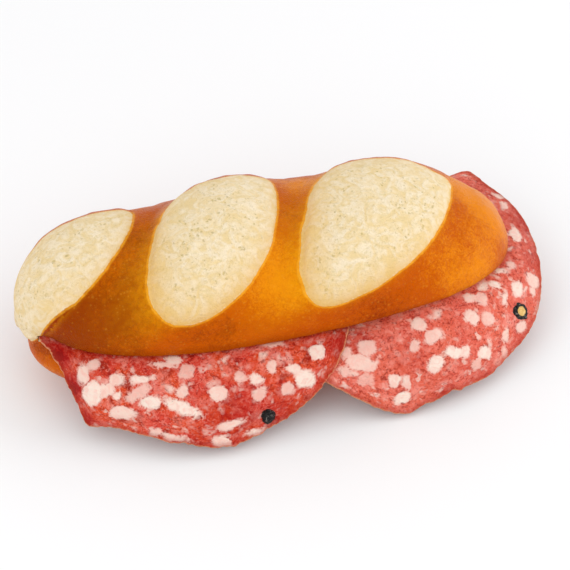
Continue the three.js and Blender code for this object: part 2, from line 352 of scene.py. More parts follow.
# Roll: a loaf with three slashes, worked out from its widest line.
loaf = {
    "halfLength": 82.5, "halfWidth": 34.0, "topRise": 26.0, "baseDepth": 26.2, "restHeight": 25.0,
    "endPower": 2.54, "topPower": 2.21, "basePower": 2.9, "baseSwell": 0.1, "girthRadius": 30.0,
    "crumbRise": 7.9, "swellReach": 0.59, "leftEdge": 0.5, "rightEdge": 0.72,
    "longPower": 1.73, "widePower": 1.99, "liftSpread": 2.5, "steps": (200, 84, 84),
    "crumbLumps": {8.0: 0.5, 2.6: 0.16}, "crustLumps": {13.0: 0.3, 4.0: 0.16},  # heights by size
}
slashes = [
    {"along": -72.5, "round": 5.1, "turn": 30.6, "long": 30.9, "wide": 16.8, "widening": 0.09, "bow": 0.04,
     "lift": 0.98, "liftAlong": -0.02, "liftAcross": 0.08},
    {"along": -20.4, "round": -1.5, "turn": 54.6, "long": 34.7, "wide": 18.3, "widening": -0.03, "bow": 0.1,
     "lift": 1.05, "liftAlong": -0.08, "liftAcross": 0.02},
    {"along": 34.3, "round": -1.4, "turn": 48.7, "long": 41.8, "wide": 20.7, "widening": 0.19, "bow": 0.1,
     "lift": 0.89, "liftAlong": -0.23, "liftAcross": 0.12},
]


# Golden crust: a patch left of a slash that widens downwards, and a narrow line right of it.
# On the crumb it is the warm tone near the edge, strongest at the lower end.
def goldAt(distance, across, lengthwise):
    lower = smoothStep(0.4, -0.8, lengthwise)
    if distance > 0:
        warm = math.exp(-distance / mix(3.0, 6.5, lower)) * mix(0.25, 1.0, lower)
        return max(warm, 0.9 * math.exp(-distance / 0.5))
    crease = math.exp(distance / 1.8) * smoothStep(0.9, 0.0, lengthwise)
    patch = 0.75 * math.exp(distance / 6.5) * lower
    right = 0.4 * math.exp(distance / 1.0)
    return mix(right, max(crease, patch), smoothStep(-0.3, 0.5, across))


# Depth in the nearest slash, distance inside its edge, the place across and along it, and then the
# lift and the gold that all the slashes give.
def slashAt(along, round):
    best = (-9.0, -20.0, 0.0, 0.0)
    lifts = weights = gold = 0.0
    for slash in slashes:
        turn = math.radians(slash["turn"])
        dx = along - slash["along"]
        ds = round - slash["round"]
        u = (dx * math.cos(turn) + ds * math.sin(turn)) / slash["long"]
        nearU = min(max(u, -1.2), 1.2)
        width = slash["wide"] * (1 + slash["widening"] * nearU)
        v = (-dx * math.sin(turn) + ds * math.cos(turn)) / width - slash["bow"] * (nearU ** 2 - 0.3)
        nearV = min(max(v, -1.2), 1.2)
        depth = 1 - abs(u) ** loaf["longPower"] - abs(v) ** loaf["widePower"]
        weight = math.exp(loaf["liftSpread"] * max(depth, -3))
        lifts += weight * slash["lift"] * (1 + slash["liftAlong"] * nearU + slash["liftAcross"] * nearV)
        weights += weight
        slope = math.hypot(
            loaf["longPower"] * abs(u) ** (loaf["longPower"] - 1) / slash["long"],
            loaf["widePower"] * abs(v) ** (loaf["widePower"] - 1) / width,
        )
        distance = min(max(depth / max(slope, 0.01), -20.0), 20.0)
        if distance < 0:
            gold = max(gold, goldAt(distance, v, u))
        if depth > best[0]:
            best = (depth, distance, v, u)
    return *best, lifts / weights, gold


# Height of a line through points, at x.
def lineAt(points, x):
    for (x0, y0), (x1, y1) in zip(points, points[1:]):
        if x <= x1:
            return mix(y0, y1, max(x - x0, 0) / (x1 - x0))
    return points[-1][1]


# The bare crumb ends behind and in front at these lines on the unrolled skin, and at a level below,
# with rounded corners. At the left tip of the roll it reaches a little lower.
crumbEnd = {
    "back": [
        (-82.5, 5), (-80, 8), (-72, 11.4), (-62, 14), (-50, 16.3), (-34, 17), (-26, 13), (-16, 15.5),
        (-5, 16.8), (10, 18), (18, 15), (23, 13.8), (32, 15.6), (44, 15), (52, 13), (58, 10.5),
        (62, 8.5), (67, 4), (83, 2),
    ],
    "front": [(-83, -15.5), (-81.5, -13.5), (-80, -12.3), (-68, -12), (-60, -25), (83, -60)],
    "level": 22.3, "leftLevel": 18.0, "corner": 3.5, "tip": -81.6, "tipLevel": 15.0,
}


# The lesser of two values, rounded off where they are within a reach of each other.
def softMin(a, b, reach):
    near = max(reach - abs(a - b), 0) / reach
    return min(a, b) - near * near * reach / 4


# Distance inside the edge of the bare crumb, in millimetres, negative on the crust.
def crumbEdge(distance, along, round, height):
    behind = lineAt(crumbEnd["back"], along) - round
    inFront = round - lineAt(crumbEnd["front"], along)
    level = mix(crumbEnd["leftLevel"], crumbEnd["level"], smoothStep(-79, -74, along))
    top = min(softMin(distance, behind, crumbEnd["corner"]), inFront, height - level)
    tip = min(8 * (crumbEnd["tip"] - along), height - crumbEnd["tipLevel"], 3.0)
    return -softMin(-top, -tip, crumbEnd["corner"])


# Lighter and darker places of the crust, by place on the unrolled skin and reach: mostly its own bake,
# while the bright patches on top at the right end, on top of the middle band and low at the left end are
# painted highlights.
bakeAndLightPatches = [
    {"along": -66, "round": -25, "reach": 18, "amount": -0.7},
    {"along": -45, "round": 2, "reach": 11, "amount": -0.35},
    {"along": -34, "round": -41, "reach": 14, "amount": -0.1},
    {"along": -78, "round": -38, "reach": 12, "amount": 0.7},
    {"along": -6, "round": -24, "reach": 12, "amount": 0.45},
    {"along": 6, "round": -4, "reach": 10, "amount": -0.15},
    {"along": 26, "round": -42, "reach": 15, "amount": -0.3},
    {"along": 60, "round": -24, "reach": 17, "amount": 0.24},
    {"along": 75, "round": 0, "reach": 13, "amount": 0.5},
    {"along": 12, "round": 15, "reach": 8, "amount": 0.45},
    {"along": 70, "round": 8, "reach": 8, "amount": 0.2},
]


# Tone of the crust, 0 dark to 1 bright, with the painted highlights of the patches. The back and the
# underside only have soft clouds.
def bakeAndLightAt(along, round, point):
    tone = 0.5 + 0.22 * lumps(point.x, point.y, point.z, 24.0)
    for bakeAndLight in bakeAndLightPatches:
        away = math.hypot(along - bakeAndLight["along"], round - bakeAndLight["round"]) / bakeAndLight["reach"]
        tone += bakeAndLight["amount"] * math.exp(-away * away)
    return min(max(tone, 0.0), 1.0)


# Height of noise in layers of lumps.
def unevenness(point, layers):
    return sum(height * lumps(*point, size) for size, height in layers.items())


# Place of the skin in a direction from the roll's middle, and what the bread's material reads there.
def loafPoint(direction):
    power = loaf["topPower"] if direction.z > 0 else loaf["basePower"]
    unit = direction / powerNorm(powerNorm(direction.y, direction.z, power), direction.x, loaf["endPower"])
    belt = max(1 - abs(unit.x) ** loaf["endPower"], 0.0) ** (1 / loaf["endPower"])
    along = loaf["halfLength"] * unit.x
    round = loaf["girthRadius"] * belt * math.atan2(unit.y, unit.z)
    depth, distance, across, lengthwise, lift, gold = slashAt(along, round)
    wobble = lumps(along, round, 3.0, 7.0) + 0.5 * lumps(along, round, 5.0, 3.0)
    depth += wobble * 0.035
    distance += wobble * mix(0.25, 0.6, smoothStep(-0.4, 0.4, across))
    distance += smoothStep(0, 0.6, across) * smoothStep(0.2, -0.6, lengthwise)
    edgePower = mix(loaf["leftEdge"], loaf["rightEdge"], smoothStep(-0.4, 0.4, -across))
    inside = min(max(depth, 0.0), 1.0) ** edgePower
    reach = loaf["swellReach"]
    around = min(max(depth + reach, 0.0), 1 + reach) / (1 + reach)
    rise = 0.5 * loaf["crumbRise"] * lift * (inside + around)
    below = min(max(-unit.z, 0.0), 1.0)
    towardFront = 1 - smoothStep(-0.3, 0.9, unit.y)
    swell = 1 + loaf["baseSwell"] * towardFront * math.sin(math.pi * below) ** 1.3
    height = loaf["topRise"] if unit.z > 0 else loaf["baseDepth"]
    outward = Vector((unit.x * loaf["girthRadius"] / loaf["halfLength"], unit.y, unit.z)).normalized()
    wide = loaf["halfWidth"] * swell
    point = Vector((loaf["halfLength"] * swell * unit.x, wide * unit.y, height * unit.z))
    crumb = smoothStep(0.3, 3.5, distance)
    rise += crumb * unevenness(point, loaf["crumbLumps"])
    rise += (1 - crumb) * unevenness(point, loaf["crustLumps"])
    point += outward * rise
    point.z = max(point.z + loaf["restHeight"], 0.0)
    edge = crumbEdge(distance, along, round, point.z)
    # Painted shade: a darker band on the front of the crust just above the slit, where the crust turns
    # under towards the slices.
    aboveCut = point.z - bend["level"] - 2
    cutEdgeShade = 0.4 * smoothStep(4.0, 0.0, abs(aboveCut)) * smoothStep(0.3, -0.3, unit.y)
    tipGold = math.exp(-abs(edge) / 1.2) * smoothStep(-74, -78, along) * smoothStep(21, 18, point.z)
    if edge > 0:
        gold = goldAt(edge, across, lengthwise) * mix(0.3, 1.0, smoothStep(-84, -60, along))
    elif distance > 0:
        gold = 0.0
    return point, {
        "edge": edge, "gold": max(gold, tipGold), "bakeAndLight": bakeAndLightAt(along, round, point),
        "cutEdgeShade": cutEdgeShade * (1 - tipGold),
    }


# The slit takes the slices, and stops short of the left end and the back.
slit = {
    "clear": 1.1, "leftFlare": 1.1, "rightFlare": 2.9, "left": -84.7, "right": 104.0, "front": -70.0,
    "steps": (110, 60, 1), "ragged": 0.18, "crumbInside": 6.0,
    "hinge": [
        (-84.7, -16), (-84.5, -8), (-80, -0.5), (-74, 7), (-60, 21.5), (-44, 28), (0, 29.5), (48, 29.5),
        (62, 32), (69, 46), (104, 46),
    ],
}
bend = {
    "level": 23.9, "start": -2.0, "radius": 16.0, "frontSlope": 52.0, "backSlope": 4.0, "wave": 0.5,
    "step": 2.0,
}


# Distance outside the edge of the cut face, and the way out from it.
def beyondCut(x, y):
    px, py = x, y
    slopeX = slopeY = 0.0
    power = loaf["endPower"]
    for _ in range(5):
        ax, ay = abs(px) / loaf["halfLength"], abs(py) / loaf["halfWidth"]
        size = max(powerNorm(ax, ay, power), 1e-6)
        slopeX = math.copysign((ax / size) ** (power - 1) / loaf["halfLength"], px)
        slopeY = math.copysign((ay / size) ** (power - 1) / loaf["halfWidth"], py)
        step = (size - 1) / max(slopeX ** 2 + slopeY ** 2, 1e-9)
        px -= step * slopeX
        py -= step * slopeY
    outside = 1 if powerNorm(x / loaf["halfLength"], y / loaf["halfWidth"], power) > 1 else -1
    length = math.hypot(slopeX, slopeY)
    return outside * math.hypot(x - px, y - py), slopeX / length, slopeY / length


# How far out and down a slice hangs past that edge, and how steep it is there.
def hang(length, wayY):
    steepest = math.radians(mix(bend["backSlope"], bend["frontSlope"], smoothStep(-0.7, 0.9, -wayY)))
    bent = min(max((length - bend["start"]) / bend["radius"], 0.0), steepest)
    straight = max(length - bend["start"] - bend["radius"] * steepest, 0.0)
    out = min(length, bend["start"]) + bend["radius"] * math.sin(bent) + straight * math.cos(bent)
    down = bend["radius"] * (1 - math.cos(bent)) + straight * math.sin(bent)
    return out, down, bent


# Where the right slice is tucked under the left one.
def tuck(x):
    return 1 - smoothStep(22, 46, x)


# The cutter: a thin block that bends down as the slices do and opens towards the front.
def makeSlit(material):
    bm = gridBlock(slit["steps"])
    values = []
    for vert in bm.verts:
        x = mix(slit["left"], slit["right"], vert.co.x / 2 + 0.5)
        y = mix(slit["front"], lineAt(slit["hinge"], x), vert.co.y / 2 + 0.5)
        distance, _, wayY = beyondCut(x, y)
        down = hang(min(distance, 12), wayY)[1]
        if vert.co.z > 0:
            flare = mix(slit["leftFlare"], slit["rightFlare"], smoothStep(-20, 45, x))
            z = bend["level"] - down + slit["clear"] + flare * smoothStep(-6, 1, distance)
        else:
            z = bend["level"] - down - slit["clear"] - smoothStep(-27, -14, x) * tuck(x) * bend["step"]
        z += slit["ragged"] * lumps(x, y, vert.co.z * 9, 2.2) * smoothStep(4, 0, distance)
        vert.co = Vector((x, y, z)) * mm
        values.append({"edge": slit["crumbInside"], "gold": 0.0, "bakeAndLight": 0.5, "cutEdgeShade": 0.0})
    bm.verts.index_update()
    bm.verts.ensure_lookup_table()
    paint(bm, values)
    return toObject(bm, "slit", material)


def makeRoll(material):
    bm = gridBlock(loaf["steps"])
    bm.verts.index_update()
    bm.verts.ensure_lookup_table()
    values = []
    for vert in bm.verts:
        direction = Vector([math.tan(corner * math.pi / 4) for corner in vert.co]).normalized()
        point, found = loafPoint(direction)
        vert.co = point * mm
        values.append(found)
    paint(bm, values)
    roll = toObject(bm, "rollLook", material)
    cutter = makeSlit(material)
    cut = roll.modifiers.new("slit", "BOOLEAN")
    cut.object = cutter
    cut.operation = "DIFFERENCE"
    cut.solver = "MANIFOLD"
    graph = bpy.context.evaluated_depsgraph_get()
    mesh = bpy.data.meshes.new_from_object(roll.evaluated_get(graph))
    roll.modifiers.clear()
    roll.data = mesh
    bpy.data.objects.remove(cutter)
    for polygon in mesh.polygons:
        polygon.use_smooth = True
    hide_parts("roll")
    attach(roll, "root")
    print("roll made,", len(mesh.polygons), "faces")


makeRoll(makeBread())


# Salami: mottled red meat with fat of every size, in a thin brown casing.
salamiLook = {
    "meat": (212, 62, 46), "orange": (220, 76, 36), "dark": (132, 4, 2), "pink": (226, 112, 92),
    "fat": (241, 222, 208), "softFat": (237, 184, 170), "haze": (233, 138, 122), "crimson": (168, 6, 2),
    "casing": (204, 136, 96), "rimMeat": (160, 42, 24),
    "roughness": 0.4, "specular": 0.24, "gloss": (1.0, 0.5, 0.42, 1.0), "coat": 0.05, "coatRoughness": 0.3,
    "glow": 0.1, "glowReach": (0.003, 0.001, 0.0007),
    "hueSize": 12.0, "patchSize": 7.0, "streakSize": 2.6, "grainSize": 0.9, "fibreSize": 1.8,
    "hazeSize": 4.0,
    "marbling": [
        {"Size": 1.5, "Share": 0.35, "Reach": 0.45, "Softness": 0.25, "Warp": 0.9, "strength": 0.25},
        {"Size": 2.8, "Share": 0.45, "Reach": 0.48, "Softness": 0.22, "Warp": 0.8, "strength": 0.6},
        {"Size": 5.2, "Share": 0.3, "Reach": 0.4, "Softness": 0.16, "Warp": 0.7, "strength": 0.75},
    ],
}


def makeSalami():
    material, tree = startMaterial("salami")
    flat = put(tree, "UVMap", uv_map="flat").outputs[0]
    fatDepth = attribute(tree, "fat")
    tone = attribute(tree, "tone")
    rim = attribute(tree, "rim")
    pale = attribute(tree, "pale")
    crimson = attribute(tree, "crimson")
    hues = useGroup(tree, mottle, {
        "Vector": flat, "Size": salamiLook["hueSize"], "Softness": 0.1, "Swirl": 0.5,
    })["Value"]
    patches = useGroup(tree, mottle, {
        "Vector": flat, "Size": salamiLook["patchSize"], "Swirl": 0.8,
    })["Raw"]
    streaks = useGroup(tree, mottle, {
        "Vector": flat, "Size": salamiLook["streakSize"], "Swirl": 1.4,
    })["Raw"]
    fibres = useGroup(tree, mottle, {
        "Vector": flat, "Size": salamiLook["fibreSize"], "Swirl": 2.4,
    })["Raw"]
    grain = useGroup(tree, mottle, {"Vector": flat, "Size": salamiLook["grainSize"]})
    # Meat
    meat = blend(tree, hues, color(*salamiLook["meat"]), color(*salamiLook["orange"]))
    pinkShare = maths(tree, "ADD", ramp(tree, streaks, 0.5, 0.7, 0.0, 0.7), pale)
    meat = blend(tree, pinkShare, meat, color(*salamiLook["pink"]))
    darkShare = maths(tree, "SUBTRACT", ramp(tree, patches, 0.48, 0.34, 0.0, 0.7), pale)
    meat = blend(tree, maths(tree, "MAXIMUM", darkShare, 0.0), meat, color(*salamiLook["dark"]))
    meat = blend(tree, ramp(tree, streaks, 0.46, 0.32, 0.0, 0.6), meat, color(*salamiLook["dark"]))
    meat = blend(tree, maths(tree, "MULTIPLY", grain["Value"], 0.12), meat, color(*salamiLook["dark"]))
    haze = useGroup(tree, spots, {
        "Vector": flat, "Size": salamiLook["hazeSize"], "Share": 0.5, "Reach": 0.55, "Softness": 0.35,
        "Warp": 0.8,
    })["Mask"]
    hazeShare = maths(tree, "MULTIPLY", haze, maths(tree, "MULTIPLY_ADD", pale, 0.5, 0.5))
    meat = blend(tree, hazeShare, meat, color(*salamiLook["haze"]))
    # Scattered fat
    surface = meat
    fatShare = None
    for layer in salamiLook["marbling"]:
        shape = {name: value for name, value in layer.items() if name != "strength"}
        found = useGroup(tree, spots, {"Vector": flat, **shape})
        fatColor = blend(tree, found["Tone"], color(*salamiLook["softFat"]), color(*salamiLook["fat"]))
        opacity = ramp(tree, found["Tone"], 0.0, 1.0, 0.5, 1.0)
        opacity = maths(tree, "MULTIPLY", opacity, layer["strength"])
        mask = maths(tree, "MULTIPLY", found["Mask"], opacity)
        surface = blend(tree, mask, surface, fatColor)
        fatShare = mask if fatShare is None else maths(tree, "MAXIMUM", fatShare, mask)
    surface = blend(tree, ramp(tree, fibres, 0.52, 0.68, 0.0, 0.6), surface, color(*salamiLook["haze"]))
    surface = blend(tree, ramp(tree, fibres, 0.45, 0.32, 0.0, 0.65), surface, color(*salamiLook["dark"]))
    # Deep red patches: partly lean meat, partly painted shade along the curled left edge and where the
    # slices overlap. Past an amount of 1 they darken further, which is painted shade.
    deepShare = maths(tree, "MULTIPLY", crimson, ramp(tree, streaks, 0.35, 0.65, 1.0, 0.6))
    surface = blend(tree, maths(tree, "MINIMUM", deepShare, 1.0), surface, color(*salamiLook["crimson"]))
    # Painted shade: patches with amounts above 1, along the curled left edge, go on to dark red.
    surface = blend(tree, ramp(tree, deepShare, 0.8, 1.5, 0.0, 0.8), surface, color(*salamiLook["dark"]))
    # Placed fat
    frayed = sway(tree, sway(tree, fatDepth, fibres, 1.1), streaks, 2.0)
    placed = maths(tree, "MULTIPLY", ramp(tree, frayed, -0.5, 0.5), ramp(tree, tone, 0.2, 0.8, 0.6, 0.96))
    placedColor = blend(tree, tone, color(*salamiLook["softFat"]), color(*salamiLook["fat"]))
    shade = ramp(tree, streaks, 0.42, 0.66, 0.0, 0.55)
    placedColor = blend(tree, shade, placedColor, color(*salamiLook["softFat"]))
    surface = blend(tree, placed, surface, placedColor)
    fatShare = maths(tree, "MAXIMUM", fatShare, placed)
    # Casing
    nearRim = maths(tree, "MULTIPLY_ADD", grain["Raw"], 1.4, rim)
    surface = blend(tree, ramp(tree, nearRim, 3.4, 1.0, 0.0, 0.55), surface, color(*salamiLook["rimMeat"]))
    surface = blend(tree, ramp(tree, nearRim, 1.3, 0.9, 0.0, 0.85), surface, color(*salamiLook["casing"]))
    height = maths(tree, "MULTIPLY_ADD", fibres, 0.3, maths(tree, "MULTIPLY", fatShare, 0.18))
    bump = put(tree, "Bump", {"Strength": 0.7, "Distance": mm, "Height": height}).outputs[0]
    finishMaterial(tree, {
        "Specular IOR Level": salamiLook["specular"], "Specular Tint": salamiLook["gloss"],
        "Coat Weight": salamiLook["coat"], "Coat Roughness": salamiLook["coatRoughness"],
        "Subsurface Weight": salamiLook["glow"], "Subsurface Radius": salamiLook["glowReach"],
        "Subsurface Scale": 1.0,
    }, {
        "Base Color": surface, "Normal": bump,
        "Roughness": maths(tree, "MULTIPLY_ADD", grain["Value"], 0.15, salamiLook["roughness"] - 0.07),
    })
    return material


# Slices: an outline by angle and reach round a middle, laid in the slit and hanging over the front.
# The fat is given by place, length, width, turn and whiteness, and the deep red patches (lean meat, and
# painted shade along the curled left edge and where the slices overlap) by place, reach and amount.
sliceForm = {
    "thickness": 1.3, "steps": (180, 180, 2), "rimSqueeze": 5.0, "rimBand": 8.0, "fatBulge": 0.1,
    "dimples": 0.12, "curlWay": (0.18, 0.7, -0.69),
}
leftSlice = {
    "name": "salamiLeftLook", "node": "salami_left", "middle": (-31, -12), "under": 0, "seed": 3,
    "pale": 0.0,
    "curl": {"from": -172, "to": -128, "band": 7.0, "amount": 2.8},
    "ruffle": {"from": -150, "to": -60, "amount": 0.45},
    "crimson": [
        (-80, -20, 6, 1.8), (-78, -32, 5, 1.8), (-77, -43, 4, 1.4), (-68, -22, 7, 0.6), (-27, -54, 10, 0.8),
        (-10, -57, 8, 0.7), (13, -38, 6, 0.9), (8, -48, 5, 0.7), (20, -30, 8, 0.8), (0, -30, 7, 0.5),
        (-50, -30, 6, 0.4), (-40, -60, 6, 0.5),
    ],
    "reach": [
        (-174, 50.3), (-162, 50.4), (-151, 53.5), (-144, 56.6), (-138, 53.6), (-130, 51),
        (-120, 49.8), (-110, 50), (-100, 50.6), (-92, 52), (-83, 51.8), (-66, 51.6),
        (-48, 52.2), (-32, 52.6), (-15, 52), (5, 49), (30, 45), (55, 41),
        (90, 36.5), (115, 39), (138, 41), (160, 46), (176, 52.7),
    ],
    "pepper": {
        "name": "blackPepper", "at": (-15.2, -56.7), "radius": 2.6, "rise": 1.3, "core": 0.0,
        "stretch": 1.0,
    },
    "fat": [
        (-42, -32, 4.8, 3.5, 0, 0.7), (-39, -37, 5.2, 4.8, 0, 0.4), (-46, -33, 7.8, 2.1, -18, 0.6),
        (-54, -36, 7.8, 2.8, -6, 0.9), (-62, -34, 5.6, 3.9, -14, 0.7), (-68, -27, 4.3, 3.9, 0, 0.6),
        (-72, -29, 6.9, 3.9, 76, 0.7), (-66, -36, 4.8, 4.3, 0, 0.7), (-63, -39, 3.5, 3.0, 0, 0.9),
        (-71, -36, 7.8, 6.9, 76, 1.0), (-56, -40, 8.7, 3.9, 11, 0.5), (-53, -44, 6.9, 4.3, -9, 1.0),
        (-63, -45, 9.1, 4.3, -19, 0.7), (-43, -48, 14.7, 3.6, -36, 1.0), (-30, -46, 6.5, 5.2, -14, 0.7),
        (-42, -43, 4.3, 3.5, 0, 0.6), (-17, -44, 5.2, 3.6, -24, 0.8), (-17, -49, 5.2, 4.3, 46, 0.5),
        (-22, -42, 3.9, 3.5, 0, 0.4), (-4, -43, 5.2, 3.9, -34, 0.8), (-1, -47, 6.5, 5.6, 0, 1.0),
        (-7, -49, 4.3, 4.3, 0, 0.5), (5, -39, 5.4, 5.0, 0, 0.9), (-9, -33, 7.4, 3.0, -9, 0.5),
        (-28, -57, 9.5, 3.0, 6, 0.7), (-20, -61, 6.9, 2.2, 1, 0.9), (-32, -62, 6.9, 3.9, -14, 0.7),
        (-48, -57, 10.4, 2.2, -24, 0.7), (-54, -54, 3.9, 3.5, 0, 0.6), (-11, -41, 3.9, 3.0, 76, 0.6),
    ],
}
rightSlice = {
    "name": "salamiRightLook", "node": "salami_right", "middle": (41, -9), "under": 1, "seed": 8,
    "pale": 0.6,
    "curl": {"from": 0, "to": 35, "band": 5.0, "amount": 1.0},
    "ruffle": {"from": -110, "to": -50, "amount": 0.4},
    "crimson": [
        (20, -37, 5, 0.7), (92, 24, 7, 0.8), (95, 7, 9, 0.9), (93, -12, 7, 0.7), (62, -55, 6, 0.4),
        (48, -60, 5, 0.5), (76, -10, 6, 0.6), (83, -44, 5, 0.5), (36, -46, 6, 0.3),
    ],
    "reach": [
        (-170, 47), (-152, 50), (-132, 53.3), (-123, 53.5), (-113, 54.6), (-101, 56.6),
        (-97, 56), (-92, 53.8), (-84, 51.6), (-74, 51.1), (-61, 52.3), (-50, 52),
        (-34, 53.6), (-16, 52.9), (-3, 52.6), (9, 54.3), (21, 56.2), (37, 57.5),
        (44, 59.6), (49, 60.7), (56, 50), (68, 38), (90, 34), (115, 36), (140, 40), (165, 44),
    ],
    "pepper": {
        "name": "cutPepper", "at": (80.7, -32.8), "radius": 3.1, "rise": 0.9, "core": 0.5,
        "stretch": 1.25,
    },
    "fat": [
        (22, -40, 6.6, 5.9, 0, 0.5), (19, -45, 11.8, 5.5, -24, 0.6), (15, -40, 4.2, 3.5, 76, 0.5),
        (30, -53, 4.7, 4.2, 0, 0.8), (34, -54, 4.2, 3.1, 76, 0.6), (32, -59, 5.5, 4.2, 16, 1.0),
        (45, -49, 6.9, 5.2, 21, 1.0), (52, -46, 8.0, 3.3, -4, 1.0), (56, -46, 4.3, 3.5, 76, 0.8),
        (64, -47, 5.5, 4.8, 0, 0.9), (60, -35, 5.5, 4.5, -24, 0.7), (45, -40, 7.6, 4.2, 16, 0.6),
        (41, -35, 5.5, 4.8, -34, 0.6), (38, -42, 4.2, 3.5, 76, 0.5), (61, -28, 4.2, 3.5, 0, 0.6),
        (65, -29, 4.8, 4.2, 76, 0.5), (66, -36, 4.8, 4.8, 0, 0.5), (72, -24, 4.8, 3.1, -24, 1.0),
        (75, -18, 3.1, 3.1, 0, 0.8), (87, -1, 7.6, 5.2, 76, 0.8), (80, -25, 6.2, 4.5, 76, 0.8),
        (74, -29, 4.8, 2.4, 76, 0.7), (88, -21, 6.2, 5.5, 0, 0.6), (87, -25, 3.8, 3.1, 76, 0.6),
        (81, -38, 4.8, 3.5, 21, 0.6), (74, -41, 4.8, 2.4, 76, 0.6), (73, -47, 3.5, 3.1, 76, 0.4),
        (88, 20, 4.2, 2.1, -34, 0.8), (88, 15, 3.5, 3.1, 76, 0.6), (80, -16, 3.5, 2.8, 76, 0.5),
        (20, -51, 6.0, 4.0, 0, 0.3), (13, -47, 5.0, 3.2, -20, 0.5), (60, -51, 4.5, 3.5, 20, 0.4),
    ],
}


# Place of a spot of a slice, and of what lies an offset above its middle layer.
def drape(x, y, offset):
    distance, wayX, wayY = beyondCut(x, y)
    out, down, slope = hang(distance, wayY)
    ripple = bend["wave"] * (math.sin(x / 7.5 + 0.6) + 0.5 * math.sin(x / 3.9 - y / 8))
    raised = offset + ripple * smoothStep(2, 26, distance)
    shift = out - distance + raised * math.sin(slope)
    return Vector((x + wayX * shift, y + wayY * shift, bend["level"] - down + raised * math.cos(slope)))


# The right slice runs lower where it is tucked in.
def sliceOffset(piece, x):
    return -piece["under"] * bend["step"] * tuck(x)


# A spot of a square, -1 to 1, as direction and distance on a round disc.
def toDisc(x, y):
    if abs(x) >= abs(y):
        far, turn = x, math.pi / 4 * y / x if x else 0.0
    else:
        far, turn = y, math.pi / 2 - math.pi / 4 * x / y
    return math.atan2(far * math.sin(turn), far * math.cos(turn)), abs(far)


# Smooth outline through the given reaches, a little uneven.
def reachAt(piece, angle):
    degrees = math.degrees(angle)
    knots = piece["reach"]
    last = sum(1 for knot in knots if knot[0] <= degrees) - 1
    near = []
    for i in range(last - 1, last + 3):
        turns, knot = divmod(i, len(knots))
        near.append((knots[knot][0] + 360 * turns, knots[knot][1]))
    (a0, r0), (a1, r1), (a2, r2), (a3, r3) = near
    t = (degrees - a1) / (a2 - a1)
    leave = (r2 - r0) / (a2 - a0) * (a2 - a1)
    arrive = (r3 - r1) / (a3 - a1) * (a2 - a1)
    smooth = (2 * t ** 3 - 3 * t ** 2 + 1) * r1 + (3 * t ** 2 - 2 * t ** 3) * r2
    smooth += (t ** 3 - 2 * t ** 2 + t) * leave + (t ** 3 - t ** 2) * arrive
    around = Vector((math.cos(angle), math.sin(angle), piece["seed"]))
    return smooth + 0.5 * noise.noise(around * 9) + 0.35 * noise.noise(around * 26)


# Depth inside the nearest placed piece of fat, negative outside, and its whiteness.
def fatAt(piece, x, y):
    bx = x + 0.9 * lumps(x, y, 1.0, 3.0)
    by = y + 0.9 * lumps(x, y, 9.0, 3.0)
    nearest, tone = -3.0, 0.5
    for middleX, middleY, long, wide, turn, white in piece["fat"]:
        dx, dy = bx - middleX, by - middleY
        if abs(dx) > 11 or abs(dy) > 11:
            continue
        c, s = math.cos(math.radians(turn)), math.sin(math.radians(turn))
        size = powerNorm((dx * c + dy * s) / (long / 2), (-dx * s + dy * c) / (wide / 2), 2.3)
        inside = (1 - size) * wide / 2
        if inside > nearest:
            nearest, tone = inside, white
    return nearest, tone


# Deep red patches by place, reach and amount: partly lean meat, partly painted shade along the curled left
# edge and where the slices overlap.
def crimsonAt(piece, x, y):
    found = 0.0
    for middleX, middleY, reach, amount in piece["crimson"]:
        away = math.hypot(x - middleX, y - middleY) / reach
        found = max(found, amount * math.exp(-away * away))
    return found


# Share of a stretch of the rim, from 0 to 1, that fades out at both ends.
def stretchShare(stretch, angle):
    degrees = math.degrees(angle)
    fade = 6
    starts = smoothStep(stretch["from"] - fade, stretch["from"] + fade, degrees)
    return starts * smoothStep(stretch["to"] + fade, stretch["to"] - fade, degrees)


# How far the rim curls out and down, and how it ripples.
def rimShift(piece, angle, rim):
    curl = piece["curl"]
    away = curl["amount"] * stretchShare(curl, angle) * (1 - smoothStep(0, curl["band"], rim)) ** 1.5
    ruffle = piece["ruffle"]
    ripple = ruffle["amount"] * stretchShare(ruffle, angle) * (1 - smoothStep(0, 5, rim))
    wave = 1.6 * lumps(math.cos(angle), math.sin(angle), piece["seed"], 0.07)
    wave += lumps(math.cos(angle), math.sin(angle), piece["seed"], 0.03)
    return Vector(sliceForm["curlWay"]) * away + Vector((0, 0, ripple * wave))


